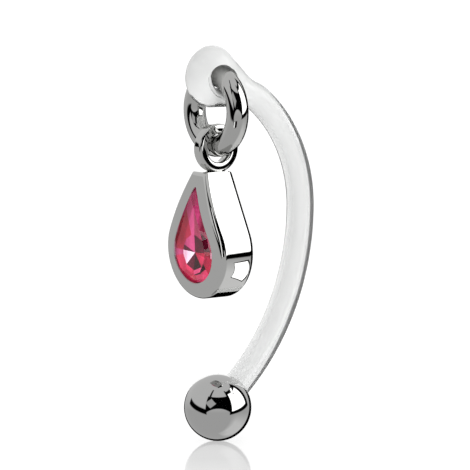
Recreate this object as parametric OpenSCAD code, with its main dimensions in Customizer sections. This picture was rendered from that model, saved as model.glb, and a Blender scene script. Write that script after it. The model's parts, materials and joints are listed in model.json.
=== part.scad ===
// Dangle curved barbell for a navel piercing, in millimetres.
// +Z is up, -Y is the side that the stone faces, and the bar bows out towards +Y.
// The origin is on the centreline of the bar, at the point of the bow that sits in the piercing.

/* [Clear bar] */
// Diameter of the bar, a 14 gauge shaft
bar_d = 1.63; // [1.2:0.01:2.4]
// Bend radius of the centreline above the origin
upper_r = 8.1; // [6:0.1:12]
// Bend radius of the centreline below the origin
lower_r = 13.75; // [10:0.05:18]
// How far the centreline turns below the origin, in degrees
lower_turn = 50; // [40:0.5:60]
// How far the straight neck drops below the horizontal, in degrees
neck_drop = 20; // [10:1:35]
// Straight reach of the neck, from the bend to the centre of the clear ball
neck_reach = 1.1; // [0.5:0.1:3]
// Straight reach of the lower end, from the shoulder of the bar to the centre of the steel ball
tail_reach = 1.75; // [1.5:0.05:1.85]
// Diameter of the slimmer pin at the lower end, which holds the steel ball
pin_d = 1.2; // [0.9:0.05:1.4]

/* [Clear ball] */
// Height of the clear ball that is moulded on the bar, across the neck
head_d = 3.66; // [3.2:0.02:5]
// Length of the clear ball along the neck, as a share of its height
head_long = 0.88; // [0.8:0.01:1]
// Width of the clear ball along the ring's hole, as a share of its height
head_wide = 0.74; // [0.7:0.01:1]
// How far the middle of the clear ball is in front of the ring's hole
head_front = 0.35; // [0:0.01:0.5]
// Half angle of the cone between the clear ball and the bar, in degrees
flare_angle = 19; // [15:1:40]
// How much lower than the neck the axis of the cone points, in degrees
flare_tilt = 3; // [0:1:6]
// Radius of the hollow curve between the cone and the bar
flare_fillet = 2; // [0.5:0.1:3]

/* [Steel ball] */
// Diameter of the steel ball
steel_d = 4; // [3.5:0.1:6]
// How far the pin goes in past the centre of the steel ball
pin_past = 0.7; // [0.3:0.1:1]

/* [Ring] */
// Radius of the ring, at the middle of its wire
ring_r = 2.06; // [1.9:0.01:2.6]
// Diameter of the wire of the ring
wire_d = 1.3; // [0.9:0.05:1.4]
// How far the hole lets the ring swing to the front, in degrees
swing_front = 90; // [60:5:90]
// How far the hole lets the ring swing back towards the bar, in degrees
swing_back = 16; // [8:1:20]

/* [Drop] */
// Inner diameter of the loop on the drop
loop_in_d = 1.64; // [1.5:0.01:2.2]
// Thickness of the loop, across its round
loop_t = 0.62; // [0.4:0.01:0.8]
// Width of the loop, along its axis
loop_w = 0.74; // [0.5:0.01:1]
// Radius of the corners of the loop's section
loop_corner = 0.2; // [0.05:0.01:0.3]
// Radius of the round end of the stone's seat
seat_r = 1.8; // [1.5:0.05:2.5]
// From the middle of the seat's round end to its tip
seat_tip = 3.94; // [3.2:0.02:5]
// Width of metal round the seat
wall = 0.95; // [0.6:0.05:1.2]
// From the middle of the seat's round end up to the flat top of the case
top_rise = 4.71; // [4.2:0.01:5.2]
// From the axis of the ring's hole back to the flat back of the case
case_back = 0.82; // [0.5:0.01:1.2]
// From the axis of the ring's hole forward to the crown of the domed front
case_front = 1.92; // [1.86:0.02:2.2]
// Radius of the dome that shapes the front
dome_r = 12; // [10:0.5:20]
// How far above the middle of the round end the dome has its crown
dome_rise = 0.9; // [0:0.1:2]
// Metal left behind the seat
seat_floor = 1.1; // [0.5:0.05:1.4]

/* [Stone] */
// From the axis of the ring's hole forward to the stone's girdle
girdle_front = 1.42; // [1.3:0.02:1.5]
// Thickness of the girdle
girdle_t = 0.12; // [0.05:0.01:0.3]
// Height of the crown, from the girdle to the table
crown_h = 0.48; // [0.3:0.02:0.6]
// How far the table is inset from the girdle
table_inset = 0.4; // [0.3:0.05:1.1]
// Depth of the pavilion, from the girdle to the point
pavilion_h = 0.95; // [0.6:0.05:0.95]

/* [Fits] */
// Radial gap between the bar or its pin and the steel ball
bore_gap = 0.03; // [0.01:0.01:0.1]
// Gap between the pin, or the bar's shoulder, and the bottom of its bore
end_gap = 0.1; // [0.05:0.05:0.3]
// Gap between the ring and the throat of its hole
throat_gap = 0.05; // [0.02:0.01:0.15]
// Gap round the ring in the tunnel at the front end of its swing, wider than at the throat
front_gap = 0.06; // [0.06:0.01:0.08]
// Gap round the ring in the tunnel at the back end of its swing, wider again
back_gap = 0.1; // [0.1:0.01:0.15]
// Gap between the ring and the top of the loop that hangs on it
hang_gap = 0.05; // [0.04:0.01:0.15]
// Gap between the stone and its seat
seat_gap = 0.03; // [0.01:0.01:0.1]

/* [Hidden] */
$fn = 96;
// Cuts run this far past the face that they open
past = 1;
// Straight sides cut this far into the round that they leave, so that the two cross cleanly
bite = 0.01;
// The pin and the end of the hollow curve start this far inside the bar
buried = 0.06;
bar_r = bar_d / 2;
pin_r = pin_d / 2;
head_r = head_d / 2;
wire_r = wire_d / 2;
// The upper arc turns from upright at the origin to the slope of the neck
upper_turn = 90 - neck_drop;
// Ends of the two arcs
upper_end = [-upper_r * (1 - cos(upper_turn)), upper_r * sin(upper_turn)];
lower_end = [-lower_r * (1 - cos(lower_turn)), -lower_r * sin(lower_turn)];
// Centres of the two balls, as [y, z]
head = upper_end + neck_reach * [-cos(neck_drop), sin(neck_drop)];
steel = lower_end - tail_reach * [sin(lower_turn), cos(lower_turn)];
// The ring hangs with the middle of its wire on the centre of the clear ball
ring_z = head[1] - ring_r;
// The loop hangs on the bottom of the ring
loop_in_r = loop_in_d / 2;
loop_out_r = loop_in_r + loop_t;
loop_z = ring_z - ring_r + wire_r + hang_gap - loop_in_r;
// Middle of the round end of the case: its flat top cuts a little into the loop, where it is soldered
solder = 0.09;
lobe_z = loop_z - loop_out_r + solder - top_rise;
// Half of the angle at the tip of the seat
tip_angle = asin(seat_r / seat_tip);
// Front of the metal behind the seat
floor_y = head[0] + case_back - seat_floor;

// Turns a shape drawn in X and Y into the plane of the bar, so that X becomes Y and Y becomes Z
module in_bar_plane() {
    rotate([90, 0, 90]) children();
}

// Turns a shape so that its Z axis becomes X
module along_x() {
    rotate([0, 90, 0]) children();
}

// Draws a flat shape in X and Z, and gives it thickness from the first y forward to the second, along -Y
module facing_front(from_y, to_y) {
    translate([0, from_y, 0]) rotate([90, 0, 0]) linear_extrude(from_y - to_y) children();
}

// Outline of the seat, grown by the given distance, with the middle of its round end at 0
module pear(grow) {
    r = seat_r + grow;
    line_r = r - bite;
    side = line_r * [cos(tip_angle), sin(tip_angle)];
    circle(r);
    polygon([side, [0, line_r / sin(tip_angle)], [-side[0], side[1]]]);
}

// Half section of the cone and its hollow curve, with the axis of the neck along Y
module flare_section() {
    cone_r = head_r - bite;
    touch = cone_r * [cos(flare_angle), sin(flare_angle)];
    // Centre of a circle of the fillet's radius that touches the cone and ends inside the bar
    fillet_x = bar_r - buried + flare_fillet;
    fillet_y = (cone_r + flare_fillet - fillet_x * cos(flare_angle)) / sin(flare_angle);
    fillet = [fillet_x, fillet_y];
    fillet_touch = fillet - flare_fillet * [cos(flare_angle), sin(flare_angle)];
    difference() {
        polygon([[0, 0], [touch[0], 0], touch, fillet_touch, fillet, [0, fillet_y]]);
        translate(fillet) circle(flare_fillet);
    }
}

// Clear ball and cone, with the hole for the ring at 0
module head_solid() {
    translate([0, -head_front, 0]) rotate([-90 - neck_drop - flare_tilt, 0, 0])
        scale([head_wide, 1, head_long]) {
            sphere(head_r);
            rotate_extrude() flare_section();
        }
}

// The space that the ring takes up at one angle of its swing, with some room round it
module ring_tunnel(swing, gap) {
    rotate([swing, 0, 0]) translate([0, 0, -ring_r]) rotate([90, 0, 0])
        rotate_extrude() translate([ring_r, 0]) circle(wire_r + gap);
}

// Hole for the ring, as the ring sweeps it out: a sector of a bell that opens to both sides, and a tunnel
// at each end of the swing
module ring_hole() {
    throat_r = ring_r - wire_r - throat_gap;
    rotate([-swing_front, 0, 0]) along_x() rotate_extrude(angle = swing_front + swing_back) difference() {
        translate([0, -head_r - past]) square([ring_r, 2 * (head_r + past)]);
        translate([ring_r, 0]) circle(throat_r);
    }
    ring_tunnel(-swing_front, front_gap);
    ring_tunnel(swing_back, back_gap);
}

// Curved length of bar that starts upright at the origin and bends back over -Y
module bend(radius, turn) {
    in_bar_plane() translate([-radius, 0, 0])
        rotate_extrude(angle = turn) translate([radius, 0]) circle(bar_r);
}

// Moves a shape to the centre of the steel ball, with its Z axis along the end of the bar
module at_tail() {
    translate([0, steel[0], steel[1]]) rotate([-lower_turn, 0, 0]) children();
}

// Round rod at the lower end of the bar, from one reach above the centre of the steel ball to one past it
module tail(r, reach, past_centre) {
    at_tail() translate([0, 0, -past_centre]) cylinder(r = r, h = reach + past_centre);
}

module bar() {
    color([0.93, 0.94, 0.94, 0.6]) {
        difference() {
            union() {
                translate([0, head[0], head[1]]) head_solid();
                bend(upper_r, upper_turn);
                mirror([0, 0, 1]) bend(lower_r, lower_turn);
                tail(pin_r, tail_reach + buried, pin_past);
            }
            translate([0, head[0], head[1]]) ring_hole();
        }
    }
}

module steel_ball() {
    color([0.62, 0.62, 0.62]) difference() {
        at_tail() sphere(d = steel_d);
        tail(pin_r + bore_gap, tail_reach, pin_past + end_gap);
        tail(bar_r + bore_gap, steel_d, end_gap - tail_reach);
    }
}

module ring() {
    color([0.66, 0.66, 0.66]) translate([0, head[0], ring_z]) rotate([90, 0, 0])
        rotate_extrude() translate([ring_r, 0]) circle(wire_r);
}

// Section of the loop, with its axis along Y
module loop_section() {
    flat = loop_corner;
    translate([loop_in_r, 0]) {
        translate([flat, -loop_w / 2]) square([loop_t - 2 * flat, loop_w]);
        translate([0, flat - loop_w / 2]) square([loop_t, loop_w - 2 * flat]);
        for (x = [flat, loop_t - flat], y = [flat - loop_w / 2, loop_w / 2 - flat])
            translate([x, y]) circle(loop_corner);
    }
}

// Case with a flat back, a flat top and a domed front, and the seat sunk into it
module case_solid() {
    back_y = head[0] + case_back;
    front_y = head[0] - case_front;
    translate([0, 0, lobe_z]) difference() {
        intersection() {
            facing_front(back_y, front_y - past) intersection() {
                pear(wall);
                translate([-seat_tip, -2 * seat_tip]) square([2 * seat_tip, 2 * seat_tip + top_rise]);
            }
            translate([0, front_y + dome_r, dome_rise]) sphere(dome_r);
        }
        facing_front(floor_y, front_y - past) pear(0);
    }
}

module drop_case() {
    color([0.7, 0.7, 0.7]) {
        translate([0, head[0], loop_z]) along_x() rotate_extrude() loop_section();
        case_solid();
    }
}

// Cut stone: a flat table, a sloping crown, a thin girdle and a pavilion that comes to a point
module stone() {
    girdle_y = head[0] - girdle_front;
    table_y = girdle_y - crown_h;
    color([0.78, 0.16, 0.36]) translate([0, 0, lobe_z]) hull() {
        facing_front(table_y + girdle_t, table_y) pear(-table_inset, $fn = 12);
        facing_front(girdle_y + girdle_t, girdle_y) pear(-seat_gap, $fn = 24);
        translate([0, girdle_y + pavilion_h, 0]) sphere(girdle_t, $fn = 8);
    }
}

bar();
steel_ball();
ring();
drop_case();
stone();
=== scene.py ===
# %% [markdown]
# # A dangle curved barbell
# This lesson models a piece of body jewellery in Blender: a clear curved bar with a clear ball on
# top, a steel ball below, and a pink stone in a teardrop case that hangs from a ring through the
# clear ball. The whole thing is 23 mm tall, so it is a lesson in small, smooth, shiny shapes.
#
# The construction comes from a CAD model, which is loaded first and never changed. Its surfaces
# are triangles of a few hundredths of a millimetre, which is right for fitting pieces together
# and too coarse for mirror polish. So each piece is modelled again here in the same place, with
# finer faces and with the small rounded edges that polishing leaves, and it stands in for its CAD
# node.

# %% Load the frame
import json
import math

import bmesh
import bpy
from mathutils import Matrix, Vector


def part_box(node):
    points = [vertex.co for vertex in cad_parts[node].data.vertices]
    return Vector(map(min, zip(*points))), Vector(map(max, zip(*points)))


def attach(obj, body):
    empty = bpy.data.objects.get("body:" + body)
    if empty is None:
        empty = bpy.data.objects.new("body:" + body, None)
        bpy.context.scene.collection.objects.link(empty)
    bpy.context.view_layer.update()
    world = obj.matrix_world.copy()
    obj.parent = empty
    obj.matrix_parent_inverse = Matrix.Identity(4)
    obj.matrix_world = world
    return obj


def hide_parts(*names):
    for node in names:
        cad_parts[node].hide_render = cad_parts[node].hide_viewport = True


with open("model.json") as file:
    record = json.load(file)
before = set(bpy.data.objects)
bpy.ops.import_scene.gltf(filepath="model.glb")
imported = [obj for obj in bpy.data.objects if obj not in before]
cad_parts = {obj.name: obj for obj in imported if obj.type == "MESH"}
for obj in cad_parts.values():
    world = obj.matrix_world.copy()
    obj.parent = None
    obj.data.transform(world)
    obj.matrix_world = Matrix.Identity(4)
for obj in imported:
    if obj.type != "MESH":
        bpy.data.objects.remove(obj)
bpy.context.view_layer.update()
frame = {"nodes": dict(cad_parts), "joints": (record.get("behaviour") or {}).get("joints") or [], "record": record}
print("nodes:", sorted(frame["nodes"]))

# %% [markdown]
# ## Sizes and places
# Everything is modelled in millimetres, because whole numbers are easier to think in, and shrunk
# to metres when a mesh is finished. The places come from the frame: the ring turns about the
# middle of the clear ball, the drop turns about the middle of the ring, and the box of a node
# gives its size. What the frame can't tell, such as the bend of the bar, is a named value here.

# %% Sizes and places
MM = 0.001


def box_mm(node):
    """Lowest and highest corner of a CAD node, in millimetres."""
    low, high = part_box(node)
    return low / MM, high / MM


pivots = {joint["name"]: Vector(joint["pos_m"]) / MM for joint in frame["joints"]}
head = pivots["ring_swing"]
ring_middle = pivots["drop_swing"]
bar_r = frame["record"]["mounts"][0]["dims"]["r_mm"]
steel_low, steel_high = box_mm("steel_ball")
steel_middle = (steel_low + steel_high) / 2
steel_r = (steel_high.x - steel_low.x) / 2
ring_low, ring_high = box_mm("ring")
wire_r = (ring_high.y - ring_low.y) / 2
ring_r = (ring_high.x - ring_low.x) / 2 - wire_r
case_top = box_mm("drop_case")[1].z
stone_front = box_mm("stone")[0].y
print(f"steel ball {2 * steel_r:.2f} mm")
print(f"ring {2 * (ring_r + wire_r):.2f} mm, of {2 * wire_r:.2f} mm wire")

# %% [markdown]
# ## Camera
# A long lens from 20 cm away gives the flat, calm look of a catalogue picture. The camera stands
# 52 degrees round towards +X, so that the case shows its stone and its side wall, and looks down
# a little. The picture is 27.65 mm wide at the jewel, and the camera aims at the point that puts
# the jewel in its place in the picture.

# %% Camera
camera_turn = math.radians(52)
camera_rise = math.radians(6.5)
camera_distance = 200
picture_width = 27.65
aim_right = -3.9
aim_up = -1.83
aim_depth = 3.6

to_camera = Vector((
    math.sin(camera_turn) * math.cos(camera_rise),
    -math.cos(camera_turn) * math.cos(camera_rise),
    math.sin(camera_rise),
))
camera_right = Vector((math.cos(camera_turn), math.sin(camera_turn), 0))
camera_up = to_camera.cross(camera_right)
aim = aim_right * camera_right + aim_up * camera_up + aim_depth * to_camera

camera_data = bpy.data.cameras.new("camera")
camera_data.lens = camera_data.sensor_width * camera_distance / picture_width
camera_data.clip_start = 0.001
camera = bpy.data.objects.new("camera", camera_data)
camera.location = (aim + camera_distance * to_camera) * MM
camera.rotation_euler = to_camera.to_track_quat("Z", "Y").to_euler()
bpy.context.scene.collection.objects.link(camera)
bpy.context.scene.camera = camera
print(f"lens {camera_data.lens:.0f} mm")

# %% [markdown]
# ## Helpers for meshes
# Every piece starts as a bmesh in millimetres. The helpers do what all of them need: an arc of
# points for a profile, a lathe that spins a profile about an axis, turns and moves, and a last
# step that cleans the mesh and makes it an object. The last step merges doubles before it turns
# the normals outwards, because a spin leaves its seam and its poles doubled.

# %% Helpers for meshes
SAME_PLACE = 0.0005


def arc(centre, radius, start, end, steps):
    """Points on an arc from one angle to another, in degrees."""
    turns = [math.radians(start + (end - start) * i / steps) for i in range(steps + 1)]
    return [(centre[0] + radius * math.cos(a), centre[1] + radius * math.sin(a)) for a in turns]


def circle(centre, radius, points):
    """Points all the way round a circle."""
    return arc(centre, radius, 0, 360 - 360 / points, points - 1)


def lathe(profile, steps, closed=False):
    """Spins a profile of (radius, height) points about the Z axis."""
    bm = bmesh.new()
    verts = [bm.verts.new((radius, 0, height)) for radius, height in profile]
    pairs = list(zip(verts, verts[1:])) + ([(verts[-1], verts[0])] if closed else [])
    edges = [bm.edges.new(pair) for pair in pairs]
    bmesh.ops.spin(
        bm, geom=verts + edges, cent=(0, 0, 0), axis=(0, 0, 1), dvec=(0, 0, 0),
        angle=2 * math.pi, steps=steps, space=Matrix(), use_merge=True,
        use_normal_flip=False, use_duplicate=False,
    )
    bmesh.ops.remove_doubles(bm, verts=bm.verts, dist=SAME_PLACE)
    return bm


def as_object(bm, name, crease=None):
    """Cleans a bmesh in millimetres and makes it an object in metres, sharp past a crease."""
    bmesh.ops.remove_doubles(bm, verts=bm.verts, dist=SAME_PLACE)
    bmesh.ops.recalc_face_normals(bm, faces=bm.faces)
    bmesh.ops.scale(bm, vec=(MM, MM, MM), verts=bm.verts)
    mesh = bpy.data.meshes.new(name)
    bm.to_mesh(mesh)
    bm.free()
    mesh.shade_smooth()
    if crease is not None:
        mesh.set_sharp_from_angle(angle=math.radians(crease))
    piece = bpy.data.objects.new(name, mesh)
    bpy.context.scene.collection.objects.link(piece)
    triangles = sum(len(face.vertices) - 2 for face in mesh.polygons)
    print(f"{name}: {triangles} triangles")
    return piece


def along_x(bm):
    """Turns a lathed shape so that its axis is X."""
    turn = Matrix.Rotation(math.pi / 2, 3, "Y")
    bmesh.ops.rotate(bm, cent=(0, 0, 0), matrix=turn, verts=bm.verts)


def turn_about_x(bm, degrees):
    """Turns a whole bmesh about X."""
    turn = Matrix.Rotation(math.radians(degrees), 3, "X")
    bmesh.ops.rotate(bm, cent=(0, 0, 0), matrix=turn, verts=bm.verts)


def move(bm, offset):
    """Moves a whole bmesh."""
    bmesh.ops.translate(bm, vec=offset, verts=bm.verts)


# %% [markdown]
# ## The clear bar
# The real bar is moulded in one go: a ball, a cone that flares out of the shaft to meet it, and
# the bent shaft, with a slim pin at the end that screws into the steel ball. It could be joined
# from a ball and a tube, but then a line would show where they meet. Here one profile holds the
# ball, the cone, its hollow curve and the shaft. It is lathed as one straight shape and then bent
# along the centreline, so the surface runs through without a seam.

# %% Centreline of the bar
neck = 1.1
upper_bend = 8.1
lower_bend = 13.75
upper_angle = math.radians(70)
lower_angle = math.radians(50)
upper_end = neck + upper_bend * upper_angle
lower_end = upper_end + lower_bend * lower_angle


def centreline(way):
    """Place on the centreline as (y, z), and the angle of its outward side, at a way along it."""
    if way <= neck:
        turn = upper_angle
        past = way - neck
    elif way <= upper_end:
        turn = upper_angle - (way - neck) / upper_bend
        past = 0
    elif way <= lower_end:
        turn = -(way - upper_end) / lower_bend
        past = 0
    else:
        turn = -lower_angle
        past = way - lower_end
    bend = upper_bend if turn > 0 else lower_bend
    y = bend * (math.cos(turn) - 1) + past * math.sin(turn)
    z = bend * math.sin(turn) - past * math.cos(turn)
    return y, z, turn


print(f"the shaft ends {lower_end:.2f} mm along its centreline")

# %% Profile of the bar
head_r = 1.81
head_long = 0.88
head_front = 0.33
cone_angle = 19
hollow_r = 2
shoulder_round = 0.05
pin_r = 0.6
pin_end = lower_end + 2.45
ring_spacing = 0.25
ball_steps = 72
cone_steps = 16
shoulder_steps = 4
bar_steps = 96

cone = math.radians(cone_angle)
hollow_x = bar_r + hollow_r
hollow_y = (head_r + hollow_r - hollow_x * math.cos(cone)) / math.sin(cone)
ball_arc = arc((0, 0), head_r, -90, cone_angle, ball_steps)
hollow_arc = arc((hollow_x, hollow_y), hollow_r, 180 + cone_angle, 180, cone_steps)
cone_start = Vector(ball_arc[-1])
cone_stop = Vector(hollow_arc[0])
cone_line = [tuple(cone_start.lerp(cone_stop, i / cone_steps)) for i in range(1, cone_steps)]
round_head = ball_arc + cone_line + hollow_arc
head_profile = [(radius, head_long * height - head_front) for radius, height in round_head]
hollow_end = head_profile[-1][1]
shaft_steps = round((lower_end - hollow_end) / ring_spacing)
shaft_line = [
    (bar_r, hollow_end + (lower_end - shoulder_round - hollow_end) * i / shaft_steps)
    for i in range(1, shaft_steps)
]
shoulder_middle = (bar_r - shoulder_round, lower_end - shoulder_round)
shoulder = arc(shoulder_middle, shoulder_round, 0, 90, shoulder_steps)
pin = [(pin_r, lower_end), (pin_r, pin_end - shoulder_round)]
pin += [(pin_r - shoulder_round, pin_end), (0, pin_end)]
bar_profile = head_profile + shaft_line + shoulder + pin
bar_bm = lathe(bar_profile, bar_steps)
print("points in the profile of the bar:", len(bar_profile))

# %% [markdown]
# The moulding is narrower than it is tall, because the ring goes through it from side to side,
# and it sits a little lower than the centreline. Both are true of the ball and wear off along the
# neck, so they are a share of each vertex, which fades out smoothly with its way along the bar.

# %% Flatten the ball and bend the bar
head_wide = 0.74
head_drop = 0.145
head_tilt = math.radians(3)
fade_start = 1.4
fade_stop = 3.4

for vert in bar_bm.verts:
    fade = min(max((vert.co.z - fade_start) / (fade_stop - fade_start), 0), 1)
    share = 1 - fade * fade * (3 - 2 * fade)
    drop = head_drop + (vert.co.z + head_front) * math.tan(head_tilt)
    across = vert.co.x * (1 - (1 - head_wide) * share)
    side = vert.co.y - share * drop
    y, z, turn = centreline(vert.co.z)
    vert.co = (across, y + side * math.cos(turn), z + side * math.sin(turn))
bar = as_object(bar_bm, "clear_bar")

# %% [markdown]
# ## The hole for the ring
# The ring passes through the clear ball from side to side, and the hole is the space that it
# sweeps out as it swings from the back to the front. That space is a sector of a bell: narrow in
# the middle, and opening to both sides as the ring curves down. At each end of the swing it ends
# in the round of the wire itself. So three drill shapes are cut out of the ball: the sector,
# which is one flat section spun part of the way round, and a thick ring at each end. The section
# turns over in a small arc at its mouth, which gives the hole the soft lip of a moulding.

# %% Section of the hole
throat_gap = 0.05
mouth_reach = 1.58
lip_r = 0.12
lip_trim = 6
bell_steps = 40
lip_steps = 12
cutter_reach = 2.4

bell_r = ring_r - wire_r - throat_gap
lip_height = ((mouth_reach - lip_r) ** 2 - (bell_r - lip_r) ** 2 + ring_r ** 2) / (2 * ring_r)
lip_side = math.sqrt((mouth_reach - lip_r) ** 2 - lip_height ** 2)
bell_turn = math.degrees(math.atan2(lip_side, ring_r - lip_height))
lip_start = math.degrees(math.atan2(lip_height - ring_r, lip_side))
lip_stop = math.degrees(math.atan2(lip_height, lip_side)) - lip_trim
bell_arc = arc((0, ring_r), bell_r, -90, -90 + bell_turn, bell_steps)
lip_arc = arc((lip_side, lip_height), lip_r, lip_start, lip_stop, lip_steps)
mouth = lip_arc[-1]
half = bell_arc + lip_arc[1:]
half += [(cutter_reach, mouth[1] * cutter_reach / mouth[0]), (cutter_reach, 0)]
hole_section = [(height, -side) for side, height in reversed(half[1:])]
hole_section += [(height, side) for side, height in half]
print(f"the mouth of the hole is {mouth[1]:.2f} mm from its axis")

# %% The hole for the ring
swing_front, swing_back = frame["joints"][0]["range_deg"]
front_gap = 0.06
back_gap = 0.1
ring_steps = 180
tunnel_steps = 60
sector_steps = 64


def swung(bm, swing):
    """Swings a shape about the axis of the hole, as the ring swings, and moves it there."""
    turn_about_x(bm, swing)
    move(bm, head)


def torus(bore, steps):
    """Closed ring of round section, hung with the middle of its tube on the axis of the hole."""
    bm = lathe(circle((ring_r, 0), bore, steps), ring_steps, closed=True)
    turn_about_x(bm, 90)
    move(bm, (0, 0, -ring_r))
    return bm


def cut_away(piece, tool):
    """Cuts a tool out of a piece with an exact Boolean, and removes the tool."""
    boolean = piece.modifiers.new("cut", "BOOLEAN")
    boolean.operation = "DIFFERENCE"
    boolean.solver = "EXACT"
    boolean.object = tool
    evaluated = piece.evaluated_get(bpy.context.evaluated_depsgraph_get())
    result = bpy.data.meshes.new_from_object(evaluated)
    piece.modifiers.clear()
    piece.data = result
    bpy.data.objects.remove(tool)


sector_bm = bmesh.new()
section_verts = [sector_bm.verts.new((radius, 0, height)) for radius, height in hole_section]
section = sector_bm.faces.new(section_verts)
bmesh.ops.spin(
    sector_bm, geom=[section], cent=(0, 0, 0), axis=(0, 0, 1), dvec=(0, 0, 0),
    angle=math.radians(swing_back - swing_front), steps=sector_steps, space=Matrix(),
    use_merge=False, use_normal_flip=False, use_duplicate=False,
)
along_x(sector_bm)
swung(sector_bm, swing_front)
cut_away(bar, as_object(sector_bm, "sector_cutter"))
for swing, gap in ((swing_front, front_gap), (swing_back, back_gap)):
    tunnel_bm = torus(wire_r + gap, tunnel_steps)
    swung(tunnel_bm, swing)
    cut_away(bar, as_object(tunnel_bm, "tunnel_cutter"))

# %% [markdown]
# An exact cut leaves slivers where the drill shapes cross the faces of the ball, and in such a
# smooth surface they would show as creases. So corners that lie closer than a few microns are
# merged, and only the steep edges of the hole are kept sharp.

# %% Clean the clear bar
sliver = 0.008
crease_angle = 40

bar_bm = bmesh.new()
bar_bm.from_mesh(bar.data)
bmesh.ops.remove_doubles(bar_bm, verts=bar_bm.verts, dist=sliver * MM)
bmesh.ops.recalc_face_normals(bar_bm, faces=bar_bm.faces)
bar_volume = bar_bm.calc_volume() / MM ** 3
bar_bm.to_mesh(bar.data)
bar_bm.free()
bar.data.shade_smooth()
bar.data.set_sharp_from_angle(angle=math.radians(crease_angle))
print(f"clear_bar with its hole: {len(bar.data.polygons)} faces, {bar_volume:.1f} cubic mm")

# %% [markdown]
# ## The steel ball
# The ball is turned from steel and has a blind bore that takes the end of the bar. The bar is
# clear, so the mouth of the bore shows through it, and the lathe profile goes down into the bore
# and to its bottom.

# %% The steel ball
bore_gap = 0.03
bore_r = bar_r + bore_gap
bore_depth = 1.65
pin_bore_r = pin_r + bore_gap
pin_bore_end = -0.8
mouth_round = 0.04
mouth_start = 75
mouth_steps = 6
steel_arc_steps = 96
steel_steps = 144

mouth_angle = math.degrees(math.acos((bore_r + mouth_round) / steel_r))
mouth_height = steel_r * math.sin(math.radians(mouth_angle))
mouth_middle = (bore_r + mouth_round, mouth_height - mouth_round)
steel_profile = arc((0, 0), steel_r, -90, mouth_angle, steel_arc_steps)
steel_profile += arc(mouth_middle, mouth_round, mouth_start, 180, mouth_steps)
steel_profile += [(bore_r, bore_depth), (pin_bore_r, bore_depth)]
steel_profile += [(pin_bore_r, pin_bore_end), (0, pin_bore_end)]
steel_bm = lathe(steel_profile, steel_steps)
turn_about_x(steel_bm, -math.degrees(lower_angle))
move(steel_bm, steel_middle)
steel_ball = as_object(steel_bm, "polished_ball", crease=50)

# %% [markdown]
# ## The ring
# The ring is round wire bent to a circle and closed. A circle of the wire's size is moved out to
# the ring's radius and spun all the way round.

# %% The ring
wire_steps = 48

ring_bm = torus(wire_r, wire_steps)
move(ring_bm, head)
ring = as_object(ring_bm, "wire_ring")

# %% [markdown]
# ## The loop of the drop
# The loop is a flat band with rounded corners. Each corner catches a bright line, so they are
# real arcs in the profile. The loop sinks a little into the flat top of the case, where it is
# soldered.

# %% The loop of the drop
loop_in_r = 0.82
loop_t = 0.62
loop_w = 0.74
loop_corner = 0.2
corner_steps = 8
loop_steps = 128
solder = 0.09

loop_out_r = loop_in_r + loop_t
loop_middle = Vector((0, ring_middle.y, case_top - loop_out_r))


def rounded_band(inner, outer, width, corner, steps):
    """Profile of a band with rounded corners, as (radius, height) points."""
    half_width = width / 2 - corner
    corners = [(outer - corner, half_width, 0), (inner + corner, half_width, 90)]
    corners += [(inner + corner, -half_width, 180), (outer - corner, -half_width, 270)]
    points = []
    for radius, height, start in corners:
        points += arc((radius, height), corner, start, start + 90, steps)
    return points


band = rounded_band(loop_in_r, loop_out_r, loop_w, loop_corner, corner_steps)
loop_bm = lathe(band, loop_steps, closed=True)
along_x(loop_bm)
move(loop_bm, loop_middle)
loop = as_object(loop_bm, "drop_loop")

# %% [markdown]
# ## The case
# The case is cast: a pear-shaped block with a flat back, a flat top under the loop and a gently
# domed front, with a pear-shaped seat sunk into the front for the stone. Polishing has rounded
# its edges. Sections through it are pears of growing and shrinking size, so it is made as a loft:
# a row of outlines with the same number of points, from the back over the side wall and the front
# into the seat, and each is bridged to the next. A rounded edge is then a few outlines on an arc.

# %% Outlines of the case
seat_r = 1.8
seat_tip = 3.94
wall = 0.95
top_rise = 4.71
seat_tip_round = 0.1
tip_angle = math.degrees(math.asin(seat_r / seat_tip))
round_steps = 80
side_steps = 26
top_steps = 8
lobe_z = loop_middle.z - loop_out_r + solder - top_rise


def pear(grow, top):
    """Outline of the seat grown by a distance, as (x, z). The points in top are its upper end."""
    r = seat_r + grow
    tangent = math.radians(tip_angle)
    foot = Vector((r * math.cos(tangent), r * math.sin(tangent)))
    low = arc((0, 0), r, -180 - tip_angle, tip_angle, round_steps)
    side = [tuple(foot.lerp(Vector(top[0]), i / side_steps)) for i in range(1, side_steps)]
    other = [(-x, z) for x, z in reversed(side)]
    return low + side + top + other


def flat_top(grow, rise):
    """Points across the flat top at a rise above the middle of the round end, from +X to -X."""
    tip = (seat_r + grow) / math.sin(math.radians(tip_angle))
    half_top = (tip - rise) * math.tan(math.radians(tip_angle))
    return [(half_top * (1 - 2 * i / top_steps), rise) for i in range(top_steps + 1)]


def round_tip(grow, radius):
    """Points round the tip of the seat, from +X to -X."""
    tip = (seat_r + grow - radius) / math.sin(math.radians(tip_angle))
    return arc((0, tip), radius, tip_angle, 180 - tip_angle, top_steps)


def case_outline(inset):
    """Outline of the case, inset by a distance."""
    return pear(wall - inset, flat_top(wall - inset, top_rise - inset))


def seat_outline(grow):
    """Outline of the seat, grown by a distance."""
    return pear(grow, round_tip(grow, seat_tip_round + grow))


print("points in each outline:", len(case_outline(0)), len(seat_outline(0)))

# %% [markdown]
# The sections come in the order in which one would run a finger over the case: round the back
# edge, up the side wall and round the front edge, across the domed rim, over the small edge of
# the seat and down to its floor. The rim is drawn by blending the outer outline into that of the
# seat, and each of its points is set back onto the dome.

# %% Sections of the case
case_back = head.y + 0.82
case_front = head.y - 1.92
dome_r = 12
dome_rise = 0.9
seat_floor = case_back - 1.1
front_round = 0.38
back_round = 0.42
seat_round = 0.05
edge_steps = 8
seat_edge_steps = 4
rim_rows = 10


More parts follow.
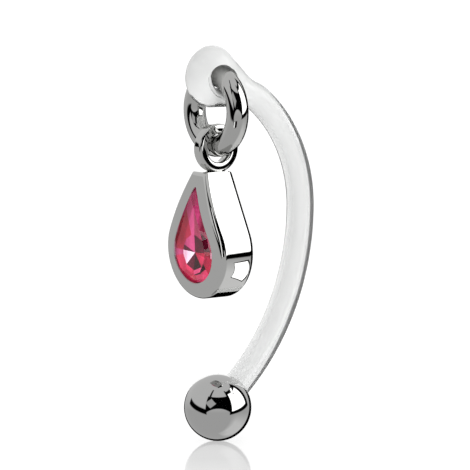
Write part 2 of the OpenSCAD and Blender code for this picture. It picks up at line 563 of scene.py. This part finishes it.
def dome(x, z):
    """How far forward the domed front is, at a place in the lobe's own x and z."""
    return case_front + dome_r - math.sqrt(dome_r ** 2 - x ** 2 - (z - dome_rise) ** 2)


def quarter(steps):
    """Sine and cosine at steps over a quarter turn."""
    turns = [math.pi / 2 * i / steps for i in range(steps + 1)]
    return [(math.sin(turn), math.cos(turn)) for turn in turns]


sections = []
for sine, cosine in quarter(edge_steps):
    y = case_back - back_round * (1 - cosine)
    sections.append([(x, y, z) for x, z in case_outline(back_round * (1 - sine))])

rim_start = case_outline(front_round)
for sine, cosine in quarter(edge_steps):
    outline = case_outline(front_round * (1 - cosine))
    sections.append([
        (x, dome(*edge) + front_round * (1 - sine), z) for (x, z), edge in zip(outline, rim_start)
    ])

rim_stop = seat_outline(seat_round)
for row in range(1, rim_rows):
    flat = [Vector(a).lerp(Vector(b), row / rim_rows) for a, b in zip(rim_start, rim_stop)]
    sections.append([(point.x, dome(*point), point.y) for point in flat])

for sine, cosine in quarter(seat_edge_steps):
    outline = seat_outline(seat_round * (1 - sine))
    sections.append([
        (x, dome(*edge) + seat_round * (1 - cosine), z) for (x, z), edge in zip(outline, rim_stop)
    ])
sections.append([(x, seat_floor, z) for x, z in seat_outline(0)])
print("sections of the case:", len(sections))

# %% The case
def closed_loop(bm, points):
    """Closed loop of edges through points."""
    verts = [bm.verts.new(point) for point in points]
    return [bm.edges.new((a, b)) for a, b in zip(verts, verts[1:] + verts[:1])]


case_bm = bmesh.new()
loops = [closed_loop(case_bm, section) for section in sections]
for first, second in zip(loops, loops[1:]):
    bmesh.ops.bridge_loops(case_bm, edges=first + second)
for end in (loops[0], loops[-1]):
    bmesh.ops.contextual_create(case_bm, geom=end)
move(case_bm, (0, 0, lobe_z))
case = as_object(case_bm, "teardrop_case", crease=30)
weighted = case.modifiers.new("even_shading", "WEIGHTED_NORMAL")
weighted.keep_sharp = True

# %% [markdown]
# ## The stone
# The stone is a pear-cut crystal with a bright foil behind it. Its look comes from its facets: light goes in
# through the flat table and the sloping crown facets round it, bounces off the foiled facets behind, and comes out
# again in another shade for each facet. So the facets have to be real flat faces. Each row of the table below is
# one cut of the stone, from one turn about the middle of its round end to the next, with the shade painted on it
# near the middle, where the facets form a star, and the shade painted on it towards the girdle. These shades are
# the pink of the foil with painted light and shade: the bright and dark that each facet reflects is painted into
# its colour.

# %% Cuts of the stone
# The pinks below carry painted light and shade: the dark and the bright ones are painted reflections, not
# different colours of the foil.
MAUVE = (0.52, 0.06, 0.19, 1)
DULL_PINK = (0.42, 0.055, 0.13, 1)
DEEP_RED = (0.4, 0.015, 0.05, 1)
MAROON = (0.09, 0.004, 0.02, 1)
BLACK_RED = (0.03, 0.001, 0.004, 1)
ROSE = (0.6, 0.03, 0.1, 1)
BRIGHT_PINK = (0.85, 0.11, 0.27, 1)
BLUSH = (0.95, 0.66, 0.8, 1)

cuts = [
    # (start turn, painted star shade, painted girdle shade)
    (2, MAROON, DULL_PINK),
    (46, MAROON, DULL_PINK),
    (90, MAUVE, MAUVE),
    (106, MAUVE, DEEP_RED),
    (134, MAUVE, DEEP_RED),
    (158, MAROON, DEEP_RED),
    (176, BLUSH, MAUVE),
    (190, BLUSH, ROSE),
    (225, MAROON, ROSE),
    (268, BLACK_RED, BRIGHT_PINK),
    (310, ROSE, ROSE),
    (347, DEEP_RED, BLUSH),
]
print("cuts of the stone:", len(cuts))

# %% The stone
stone_gap = 0.03
table_inset = 0.38
star_r = 1.06
crown_h = 0.48
girdle_t = 0.12
star_depth = 0.2
pavilion_depth = 0.32
steps_a_cut = 4
tip_round = 0.12
girdle_y = stone_front + crown_h


def reach(turn):
    """How far the girdle is from the middle of the round end, at a turn from +X towards +Z."""
    lobe = seat_r - stone_gap
    from_tip = abs(turn - 90)
    if from_tip > 90 - tip_angle:
        return lobe
    tip = lobe / math.sin(math.radians(tip_angle)) - tip_round
    return min(lobe / math.cos(math.radians(90 - tip_angle - from_tip)), tip)


def at(turn, radius):
    """Place at a turn and a radius, as (x, z)."""
    return radius * math.cos(math.radians(turn)), radius * math.sin(math.radians(turn))


cut_turns = [start for start, star, girdle in cuts] + [cuts[0][0] + 360]
fine_turns = [
    first + (last - first) * step / steps_a_cut
    for first, last in zip(cut_turns, cut_turns[1:]) for step in range(steps_a_cut)
]


def straight(radius_at):
    """Outline that runs straight from cut to cut, at a radius that is given at the cuts."""
    points = []
    for first, last in zip(cut_turns, cut_turns[1:]):
        a, b = Vector(at(first, radius_at(first))), Vector(at(last, radius_at(last)))
        points += [tuple(a.lerp(b, step / steps_a_cut)) for step in range(steps_a_cut)]
    return points


def outline_loop(bm, outline, y):
    """Closed loop of edges on an outline of (x, z) points, at a y."""
    return closed_loop(bm, [(x, y, z) for x, z in outline])


def extrude_to(bm, edges, y):
    """Extrudes a loop of edges along Y to a y, and gives the new loop."""
    made = bmesh.ops.extrude_edge_only(bm, edges=edges)["geom"]
    for vert in (item for item in made if isinstance(item, bmesh.types.BMVert)):
        vert.co.y = y
    return [item for item in made if isinstance(item, bmesh.types.BMEdge) and item.is_boundary]


stone_bm = bmesh.new()
girdle_front = outline_loop(stone_bm, [at(turn, reach(turn)) for turn in fine_turns], girdle_y)
table = outline_loop(stone_bm, straight(lambda turn: reach(turn) - table_inset), stone_front)
bmesh.ops.contextual_create(stone_bm, geom=table)
bmesh.ops.bridge_loops(stone_bm, edges=girdle_front + table)
girdle_back = extrude_to(stone_bm, girdle_front, girdle_y + girdle_t)
star = outline_loop(stone_bm, straight(lambda turn: star_r), girdle_y + star_depth)
bmesh.ops.bridge_loops(stone_bm, edges=girdle_back + star)
star_face = bmesh.ops.contextual_create(stone_bm, geom=star)["faces"]
culet = bmesh.ops.poke(stone_bm, faces=star_face)["verts"][0]
culet.co = (0, girdle_y + pavilion_depth, 0)
bmesh.ops.recalc_face_normals(stone_bm, faces=stone_bm.faces)

# %% [markdown]
# A facet belongs to the cut that its middle turns towards. The facets that meet in the point
# behind the stone are the star, and all that don't face the front get the foil: their normals
# point less to the front than a limit.

# %% Painted shades of the facets
front_limit = -0.05

facet_shade = stone_bm.loops.layers.float_color.new("facet_shade")
for face in stone_bm.faces:
    middle = face.calc_center_median()
    turn = math.degrees(math.atan2(middle.z, middle.x))
    turn += 360 if turn < cuts[0][0] else 0
    start, star_shade, girdle_shade = [cut for cut in cuts if cut[0] <= turn][-1]
    behind = face.normal.y > front_limit
    in_star = culet in face.verts
    face.material_index = 1 if behind else 0
    # Each corner takes the painted shade of its cut, pink with painted light and shade.
    for corner in face.loops:
        corner[facet_shade] = star_shade if in_star else girdle_shade
move(stone_bm, (0, 0, lobe_z))
stone = as_object(stone_bm, "pear_stone", crease=1)

# %% [markdown]
# ## Materials
# Shader maths is easier to read as sums than as a chain of nodes. The class below wraps the
# output of a node, and an expression on it adds the Math nodes. One method of the tree makes
# every other node from its type, its settings and its inputs. Two helpers then give what several
# finishes need: a distance and a smooth noise.

# %% Shader sums
class Signal:
    """The output of a shader node, which can be added, multiplied and so on."""

    def __init__(self, tree, socket):
        self.tree = tree
        self.socket = socket

    def sum(self, operation, first, second):
        return self.tree.node("ShaderNodeMath", {"operation": operation}, {0: first, 1: second})

    def __add__(self, other):
        return self.sum("ADD", self, other)

    def __sub__(self, other):
        return self.sum("SUBTRACT", self, other)

    def __rsub__(self, other):
        return self.sum("SUBTRACT", other, self)

    def __mul__(self, other):
        return self.sum("MULTIPLY", self, other)

    def __truediv__(self, other):
        return self.sum("DIVIDE", self, other)

    __radd__ = __add__
    __rmul__ = __mul__

    def clamped(self):
        return self.tree.node("ShaderNodeClamp", {}, {"Value": self})

    def size(self):
        return self.tree.node("ShaderNodeMath", {"operation": "ABSOLUTE"}, {0: self})

    def out(self, name):
        """Another output of the same node."""
        return Signal(self.tree, self.socket.node.outputs[name])


class Tree:
    """A node tree that is filled with one method."""

    def __init__(self, owner):
        owner.use_nodes = True
        self.nodes = owner.node_tree.nodes
        self.links = owner.node_tree.links
        self.nodes.clear()

    def node(self, kind, settings, inputs, output=0):
        """Makes a node, fills its settings and its inputs, and gives one of its outputs."""
        made = self.nodes.new(kind)
        for name, value in settings.items():
            if name == "stops":
                set_stops(made.color_ramp, value)
            else:
                setattr(made, name, value)
        for name, value in inputs.items():
            if isinstance(value, Signal):
                self.links.new(value.socket, made.inputs[name])
            else:
                made.inputs[name].default_value = value
        return Signal(self, made.outputs[output]) if made.outputs else made


def set_stops(ramp, stops):
    """Sets the stops of a colour ramp from (place, colour) pairs."""
    while len(ramp.elements) > 1:
        ramp.elements.remove(ramp.elements[-1])
    for number, (place, colour) in enumerate(stops):
        element = ramp.elements[0] if number == 0 else ramp.elements.new(place)
        element.position = place
        element.color = colour


def grey(value):
    return (value, value, value, 1)


def surface(name, build):
    """A material from a function that gives its shader."""
    material = bpy.data.materials.new(name)
    tree = Tree(material)
    tree.node("ShaderNodeOutputMaterial", {}, {"Surface": build(tree)})
    print(f"{name}: {len(tree.nodes)} nodes")
    return material


def distance(tree, place, point):
    """Distance of a place, in metres, from a point that is given in millimetres."""
    inputs = {0: place, 1: tuple(point * MM)}
    return tree.node("ShaderNodeVectorMath", {"operation": "DISTANCE"}, inputs, "Value")


def noise(tree, scale, detail=2):
    """Smooth noise over the object, at a scale in cycles per millimetre."""
    place = tree.node("ShaderNodeTexCoord", {}, {}, "Object")
    inputs = {"Vector": place, "Scale": scale / MM, "Detail": detail}
    return tree.node("ShaderNodeTexNoise", {}, inputs)


# %% [markdown]
# ### Polished steel
# Surgical steel is a dark mirror. A perfect one looks like a computer picture, so the roughness
# wanders a little and there is the faintest ripple in the surface, as the polishing wheel leaves
# it.

# %% Polished steel
cloud_scale = 0.5
ripple_scale = 1.2
ripple_height = 0.01


def steel_shader(colour, rough):
    """Gives a builder for polished steel of a colour and roughness."""
    def build(tree):
        cloud = noise(tree, cloud_scale)
        ripple = tree.node("ShaderNodeBump", {}, {
            "Height": noise(tree, ripple_scale, 1),
            "Strength": 0.04, "Distance": ripple_height * MM,
        })
        return tree.node("ShaderNodeBsdfPrincipled", {}, {
            "Base Color": colour, "Metallic": 1,
            "Roughness": cloud * rough + rough / 2, "Normal": ripple,
        })
    return build


ball_steel = surface("polished_steel", steel_shader((0.56, 0.56, 0.555, 1), 0.03))
ring_steel = surface("ring_steel", steel_shader((0.56, 0.56, 0.55, 1), 0.04))
case_steel = surface("case_steel", steel_shader((0.6, 0.6, 0.59, 1), 0.03))

# %% [markdown]
# ### Clear plastic
# The bar is clear but not as clear as glass: it has a milkiness, which is strong in the thick
# ball and weaker in the thin shaft. So the shader is a mix of a clear plastic and a milky one.
# The milky share falls off along the neck, by the distance from the middle of the ball. In the
# shaft it also falls off towards the edges, where one looks through less of it, and the same goes
# for the lower edge of the ball.

# %% Clear plastic
milk_in_ball = 0.8
milk_in_shaft = 0.48
milk_start = 1.9
milk_stop = 6.5
underside = 1
underside_fade = 0.2
edge_clearing = 1.8
thin_start = 0.52
thin_fade = 0.1
head_middle = head - Vector((0, head_front, 0))


def plastic_shader(tree):
    """Builds the clear plastic with its milky ball."""
    clear = tree.node("ShaderNodeBsdfPrincipled", {}, {
        "Base Color": (0.975, 0.98, 0.978, 1), "Roughness": 0.02,
        "IOR": 1.49, "Transmission Weight": 1,
    })
    milky = tree.node("ShaderNodeBsdfPrincipled", {}, {
        "Base Color": (0.86, 0.865, 0.86, 1), "Roughness": 0.12, "IOR": 1.3,
    })
    place = tree.node("ShaderNodeTexCoord", {}, {}, "Object")
    way = distance(tree, place, head_middle)
    along = ((way - milk_start * MM) / ((milk_stop - milk_start) * MM)).clamped()
    height = tree.node("ShaderNodeSeparateXYZ", {}, {"Vector": place}, "Z")
    depth = (head_middle.z - underside) * MM - height
    under = (depth / (underside_fade * MM)).clamped() * (1 - along)
    facing = tree.node("ShaderNodeLayerWeight", {}, {"Blend": 0.5}, "Facing")
    thin_edge = ((facing - thin_start) / thin_fade).clamped() * under
    thickness = (1 - edge_clearing * along * facing).clamped() * (1 - thin_edge)
    share = (milk_in_ball + (milk_in_shaft - milk_in_ball) * along) * thickness
    return tree.node("ShaderNodeMixShader", {}, {0: share, 1: clear, 2: milky})


clear_plastic = surface("clear_plastic", plastic_shader)

# %% [markdown]
# ### Pink stone
# The front of the stone is clear crystal with a faint pink. The colour is in the foil behind it, and each facet of
# the foil has a painted shade: its pink with the painted light and shade of what that facet reflects, stored on
# the mesh as a colour attribute. The foil also glows a little in that shade, which is a painted glow, since the
# foil is no lamp. Faint streaks along the stone make the long facets less even.

# %% Pink stone
streak_stretch = 0.25
streak_scale = 1.6
streak_share = 0.6
streak_tints = [(0.35, (0.55, 0.4, 0.5, 1)), (0.65, (1.3, 1.4, 1.35, 1))]


def crystal_shader(tree):
    """Builds the clear crystal."""
    return tree.node("ShaderNodeBsdfPrincipled", {}, {
        "Base Color": (0.99, 0.9, 0.94, 1), "Roughness": 0.0, "IOR": 1.6, "Transmission Weight": 1,
    })


def foil_shader(tree):
    """Builds the foil, whose painted shade changes from facet to facet and which has a painted glow."""
    shade = tree.node("ShaderNodeVertexColor", {"layer_name": "facet_shade"}, {}, "Color")
    place = tree.node("ShaderNodeTexCoord", {}, {}, "Object")
    stretch = {"Vector": place, "Scale": (1, 1, streak_stretch)}
    stretched = tree.node("ShaderNodeMapping", {}, stretch)
    streak = tree.node("ShaderNodeTexNoise", {}, {
        "Vector": stretched, "Scale": streak_scale / MM, "Detail": 1,
    })
    tint = tree.node("ShaderNodeValToRGB", {"stops": streak_tints}, {0: streak})
    mixing = {"data_type": "RGBA", "blend_type": "MULTIPLY"}
    mixed = {"Factor": streak_share, "A": shade, "B": tint}
    streaked = tree.node("ShaderNodeMix", mixing, mixed, "Result")
    # The emission is a painted glow in the facet's painted shade, since the foil is no lamp.
    return tree.node("ShaderNodeBsdfPrincipled", {}, {
        "Base Color": streaked, "Metallic": 0.85, "Roughness": 0.2, "Specular IOR Level": 0,
        "Emission Color": streaked, "Emission Strength": 0.4,
    })


pink_stone = surface("pink_stone", crystal_shader)
foil = surface("stone_foil", foil_shader)

# %% [markdown]
# ## Bodies
# Each piece now takes its finish, rides on the body that moves it, and stands in for its CAD
# node. The steel ball is screwed to the bar, so one body moves both. The loop and the case are
# two meshes but one soldered piece of steel, so they stand in for one node.

# %% Give the pieces their bodies and finishes
pieces = [
    (bar, "bar", "bar", "clear_plastic", [clear_plastic]),
    (steel_ball, "bar", "steel_ball", "polished_steel", [ball_steel]),
    (ring, "ring", "ring", "ring_steel", [ring_steel]),
    (loop, "drop", "drop_case", "case_steel", [case_steel]),
    (case, "drop", "drop_case", "case_steel", [case_steel]),
    (stone, "drop", "stone", "pink_stone", [pink_stone, foil]),
]
for piece, body, node, slot, finishes in pieces:
    for finish in finishes:
        piece.data.materials.append(finish)
    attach(piece, body)
    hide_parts(node)
    print(f"{piece.name} moves with {body} and stands in for {node}")

# %% [markdown]
# ## Floor and light
# The jewel stands on a plain white floor that glows like a light table. It is glossy under the
# jewel, so that the steel ball has a faint mirror image, and plain further out. The floor is
# there for the camera only: what the steel mirrors from below is painted with the rest of the
# studio, further down.

# %% Floor
floor_r = 900
floor_gap = 0.01
gloss_start = 6
gloss_stop = 30

floor_z = steel_low.z - floor_gap
floor_bm = bmesh.new()
bmesh.ops.create_circle(floor_bm, cap_ends=True, segments=64, radius=floor_r)
move(floor_bm, (0, 0, floor_z))
floor = as_object(floor_bm, "floor")


def floor_shader(tree):
    """Builds the white floor, which glows like a light table and is glossy only under the piece."""
    glossy = tree.node("ShaderNodeBsdfPrincipled", {}, {
        "Base Color": grey(0.2), "Roughness": 0.08, "IOR": 1.26,
        "Emission Color": grey(1), "Emission Strength": 0.5,
    })
    plain = tree.node("ShaderNodeEmission", {}, {"Strength": 1.1})
    place = tree.node("ShaderNodeTexCoord", {}, {}, "Object")
    way = distance(tree, place, Vector((steel_middle.x, steel_middle.y, floor_z)))
    far = ((way - gloss_start * MM) / ((gloss_stop - gloss_start) * MM)).clamped()
    return tree.node("ShaderNodeMixShader", {}, {0: far, 1: glossy, 2: plain})


floor.data.materials.append(surface("pale_floor", floor_shader))
floor.visible_glossy = False
floor.visible_transmission = False
floor.visible_diffuse = False

# %% [markdown]
# Beside a mirror-bright piece a photographer sets small cards, which draw its edges. Those here
# are seen only by reflections and only over a short way, so each marks the piece that it stands
# beside and leaves the others alone.

# %% Cards
card_fade = 0.02


def card_shader(shade, reach):
    """Gives a builder for a card of a shade that is seen over a short way, in millimetres."""
    def build(tree):
        way = tree.node("ShaderNodeLightPath", {}, {}, "Ray Length")
        near = ((reach * MM - way) / (card_fade * MM)).clamped()
        clear = tree.node("ShaderNodeBsdfTransparent", {}, {})
        glow = tree.node("ShaderNodeEmission", {}, {"Strength": shade})
        return tree.node("ShaderNodeMixShader", {}, {0: near, 1: clear, 2: glow})
    return build


def put_card(bm, title, shade, reach):
    """Puts a card in the scene that only reflections see."""
    card = as_object(bm, title)
    card.data.materials.append(surface(title, card_shader(shade, reach)))
    card.visible_camera = False
    card.visible_diffuse = False
    card.visible_transmission = False
    card.visible_shadow = False


def flat_card(middle, half_side, half_height):
    """Card about its middle, with half of each of its sides as a vector."""
    bm = bmesh.new()
    bmesh.ops.create_grid(bm, x_segments=1, y_segments=1, size=1)
    turned = Matrix((half_side, half_height, half_side.cross(half_height))).transposed()
    bmesh.ops.transform(bm, matrix=turned.to_4x4(), verts=bm.verts)
    move(bm, middle)
    return bm


def band_card(inner, outer, y, z, title, reach):
    """Puts a dark card between two outlines."""
    bm = bmesh.new()
    loops = outline_loop(bm, inner, y) + outline_loop(bm, outer, y)
    bmesh.ops.bridge_loops(bm, edges=loops)
    move(bm, (0, 0, z))
    put_card(bm, title, 0, reach)


# %% [markdown]
# A dark frame behind the case draws the line round its back edge, and a white card low behind it,
# with a dark backing, is the small bright window in its side wall. A dark band behind the ring
# draws the line round its wire.

# %% Cards behind the case and the ring
case_card_y = case_back + 1.5
case_card_in = 0.8
case_card_out = 1.4
backing_gap = 0.04
backing_wide = 1.14
backing_tall = 1.12
ring_card_y = head.y + 1.9
ring_card_in = 1.9
ring_card_out = 2.95
ring_card_points = 60

case_inner = seat_outline(wall - case_card_in)
case_outer = case_outline(-case_card_out)
band_card(case_inner, case_outer, case_card_y, lobe_z, "dark_frame", 2.3)

low_middle = Vector((4.58, case_card_y, -5.58))
low_side = Vector((0.86, 0, -0.52))
low_height = Vector((1.07, 0, 1.36))
put_card(flat_card(low_middle, low_side, low_height), "white_card", 2.2, 6.2)
backing_middle = low_middle + Vector((0, backing_gap, 0))
backing = flat_card(backing_middle, backing_wide * low_side, backing_tall * low_height)
put_card(backing, "black_backing", 0, 6.2)

ring_inner = circle((0, 0), ring_card_in, ring_card_points)
ring_outer = circle((0, 0), ring_card_out, ring_card_points)
band_card(ring_inner, ring_outer, ring_card_y, ring_middle.z, "dark_ring", 2.3)

# %% [markdown]
# In front, a dark card with a white thread down its middle draws the lines in the rounded front
# edge of the case, and a grey card keeps the rim round the stone plain.

# %% Cards in front of the case
edge_way = 3
thread_way = 2.9
rim_way = 3.5

edge_middle = Vector((2, case_front, 0.6))
towards_edge = Vector((0.67, -0.74, 0))
edge_side = Vector((0.74, 0.67, 0))
edge_up = Vector((0, 0, 3.6))
dark_card = flat_card(edge_middle + edge_way * towards_edge, 2 * edge_side, edge_up)
put_card(dark_card, "dark_card", 0, 4.6)
thread = flat_card(edge_middle + thread_way * towards_edge, 0.4 * edge_side, edge_up)
put_card(thread, "white_thread", 1.5, 4.5)

rim_middle = Vector((0, case_front, 0.5))
towards_rim = Vector((-0.8, -0.6, 0))
rim_side = Vector((-0.6, 0.8, 0))
grey_card = flat_card(rim_middle + rim_way * towards_rim, 4 * rim_side, Vector((0, 0, 3.5)))
put_card(grey_card, "grey_card", 0.58, 6)

# %% [markdown]
# The light is a studio that the polished steel can mirror: pale grey all round, a white window on
# the right, a dark opening in front, and a few thin dark strips. It is painted in the world
# shader, by the direction that a ray looks in. The next cell reads that direction as two angles:
# its turn from the front, to the right, and its rise above the horizon. A mask is a box in those
# two angles with soft edges, whose lower and upper edge may slope or curve.

# %% Directions in the studio
world = bpy.data.worlds.new("studio")
bpy.context.scene.world = world
studio = Tree(world)
looking = studio.node("ShaderNodeTexCoord", {}, {}, "Generated")


def part_along(axis):
    """How much of the direction one looks in goes along an axis."""
    inputs = {0: looking, 1: tuple(axis)}
    return studio.node("ShaderNodeVectorMath", {"operation": "DOT_PRODUCT"}, inputs, "Value")


level_front = Vector((to_camera.x, to_camera.y, 0)).normalized()
sideways = part_along(camera_right)
forwards = part_along(level_front)
turn_from_front = studio.node(
    "ShaderNodeMath", {"operation": "ARCTAN2"}, {0: sideways, 1: forwards},
)
rise = studio.node("ShaderNodeMath", {"operation": "ARCSINE"}, {0: part_along((0, 0, 1))})
print("the front of the studio is towards", [round(part, 2) for part in level_front])


def ramp_up(signal, start, soft):
    """Goes from 0 to 1 where a signal in radians passes a start in degrees."""
    return ((signal - math.radians(start - soft / 2)) / math.radians(soft)).clamped()


def window(left, right, low, high, soft=2, low_slope=0, high_slope=0, arch=0):
    """Mask between two turns and two rises, in degrees, with soft edges that slope or arch."""
    across = ramp_up(turn_from_front, left, soft) * (1 - ramp_up(turn_from_front, right, soft))
    from_left = turn_from_front - math.radians(left)
    from_middle = turn_from_front - math.radians((left + right) / 2)
    above = rise - low_slope * from_left + arch * from_middle * from_middle
    below = rise - high_slope * from_left
    return across * ramp_up(above, low, soft) * (1 - ramp_up(below, high, soft))


def diamond(middle_turn, middle_rise, half_width, half_height, soft=0.12):
    """Mask of a card that stands on its corner."""
    across = (turn_from_front - math.radians(middle_turn)).size() / math.radians(half_width)
    up = (rise - math.radians(middle_rise)).size() / math.radians(half_height)
    return ((1 - across - up) / soft).clamped()


# %% [markdown]
# Each panel is a name, a brightness and a mask, and a later panel covers the ones before it. The
# floor straight behind the jewel is black: a round mirror shows it at its very edge, which gives
# the steel its thin dark outline. It leans a little to the lower right, and so the outline is
# heavier there.

# %% Panels that the steel mirrors
low_grey = 0.56
sky_lift = 0.17
behind_lean = 0.15
behind_start = 0.85
behind_fade = 0.02

right_and_down = part_along(camera_right) - part_along((0, 0, 1))
behind_part = part_along(-to_camera) + behind_lean * right_and_down
far_behind = ((behind_part - behind_start) / behind_fade).clamped()
panels = [
    ("black frame of the window", 0.0, window(43, 126, -18, 58, 2, low_slope=0.19)),
    ("pale floor on the right", 0.85, window(62, 150, -80, -26, 26)),
    ("white window", 2.6, window(51, 112, -7, 48, 2, low_slope=0.19)),
    ("black opening in front", 0.0, window(-42, 47, 4, 43, 2, arch=0.45)),
    ("grey card in the opening", 0.55, diamond(-25, 21, 21, 17)),
    ("black band on the left", 0.0, window(-114, -38, 3, 15, 3, -0.26, -0.2)),
    ("black seam over the opening", 0.0, window(-37, -28, 42, 68, 3)),
    ("black seam by the window", 0.0, window(40, 48, 40, 62, 3)),
    ("black floor far behind", 0.0, far_behind),
    ("white backdrop on the right", 1.35, window(163, 181, -2, 22, 3)),
    ("white backdrop on the left", 1.35, window(-181, -163, -2, 22, 3)),
]
mirrored_light = low_grey + sky_lift * ramp_up(rise, 0, 20)
for title, level, mask in panels:
    mirrored_light = mirrored_light * (1 - mask) + mask * level
print("panels in the studio:", len(panels))

# %% [markdown]
# The light is then told apart by the kind of ray. What the camera sees directly is plain white.
# What polished metal mirrors is the studio with its panels. What clear plastic shows through it
# is white with a few dark strips, which draw the thin dark lines along the outer and the inner
# edge of the bar and under the clear ball. And what lights dull surfaces is soft, and stronger
# from the right, from above and from below, where the floor glows.

# %% Light by the kind of ray
white = 1.3
seen_white = 1.12
all_round = 0.98
from_right = 0.3
from_above = 0.12
from_below = 1.2

rays = studio.node("ShaderNodeLightPath", {}, {}, "Is Camera Ray")
through = rays.out("Is Transmission Ray")
by_mirror = rays.out("Is Glossy Ray") * (1 - through)
by_camera = rays
by_dull = (1 - through - by_mirror - by_camera).clamped()
outer_line = window(-146, -60, -56, 45, 2) + window(-150, -60, 5, 45, 2)
inner_line = window(55, 118, -8, 50, 5)
under_line = window(120, 181, 42, 89, 6) + window(-181, -120, 42, 89, 6)
strips = (outer_line + inner_line + under_line).clamped() * (1 - rays.out("Glossy Depth").clamped())
through_light = seen_white * (1 - strips)
below = part_along((0, 0, -1)).clamped()
from_sides = all_round + from_right * part_along(camera_right)
dull_light = from_sides + from_above * part_along((0, 0, 1)) + from_below * below
crisp = mirrored_light * by_mirror + through_light * through
brightness = crisp + white * by_camera + dull_light * by_dull
background = studio.node("ShaderNodeBackground", {}, {"Color": grey(1), "Strength": brightness})
studio.node("ShaderNodeOutputWorld", {}, {"Surface": background})
bpy.context.scene.view_settings.view_transform = "Standard"
print("nodes in the studio:", len(studio.nodes))
